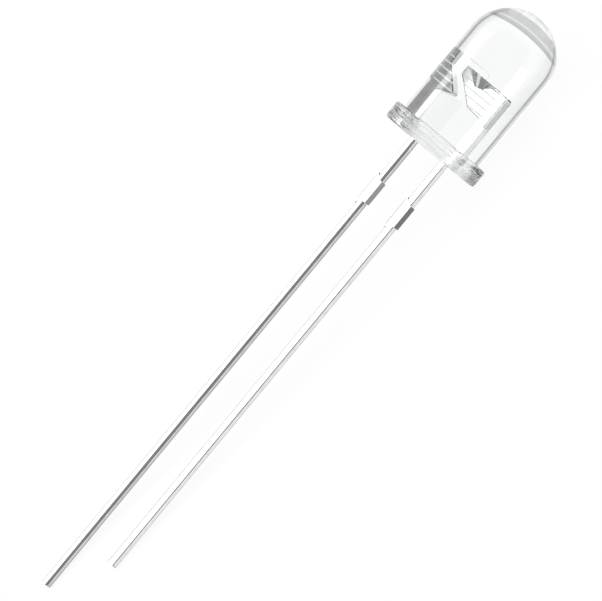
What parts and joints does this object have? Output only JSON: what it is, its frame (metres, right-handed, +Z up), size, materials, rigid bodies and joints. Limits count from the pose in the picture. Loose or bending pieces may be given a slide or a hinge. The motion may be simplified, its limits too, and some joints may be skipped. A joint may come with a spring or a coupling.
{
  "type": "through hole led",
  "caption": "Round through hole LED: clear domed epoxy lens with a flange and a cathode flat, cast round a stamped lead frame with a reflector cup and long solder leads.",
  "frame": {"origin": "middle of the flange's seating face, on the lens axis", "axes": "the diode lies at rest on its flange rim and both lead tips: +Z up, +X along the lens axis towards the dome but tilted down by 5.4 degrees from it, -Y towards the cathode's side"},
  "size_m": [0.039, 0.0057, 0.006],
  "materials": {
    "clear_epoxy": "clear, cast, glossy",
    "tinned_lead_frame": "stamped and tin plated, satin",
    "semiconductor": "sawn, satin, with a gold pad",
    "silver_paste": "cured paste, matt",
    "gold_wire": "drawn, bright"
  },
  "bodies": {
    "root": {"lens": "clear_epoxy", "cathode_lead": "tinned_lead_frame", "anode_lead": "tinned_lead_frame", "die": "semiconductor", "die_attach": "silver_paste", "bond_wire": "gold_wire"}
  },
  "joints": []
}
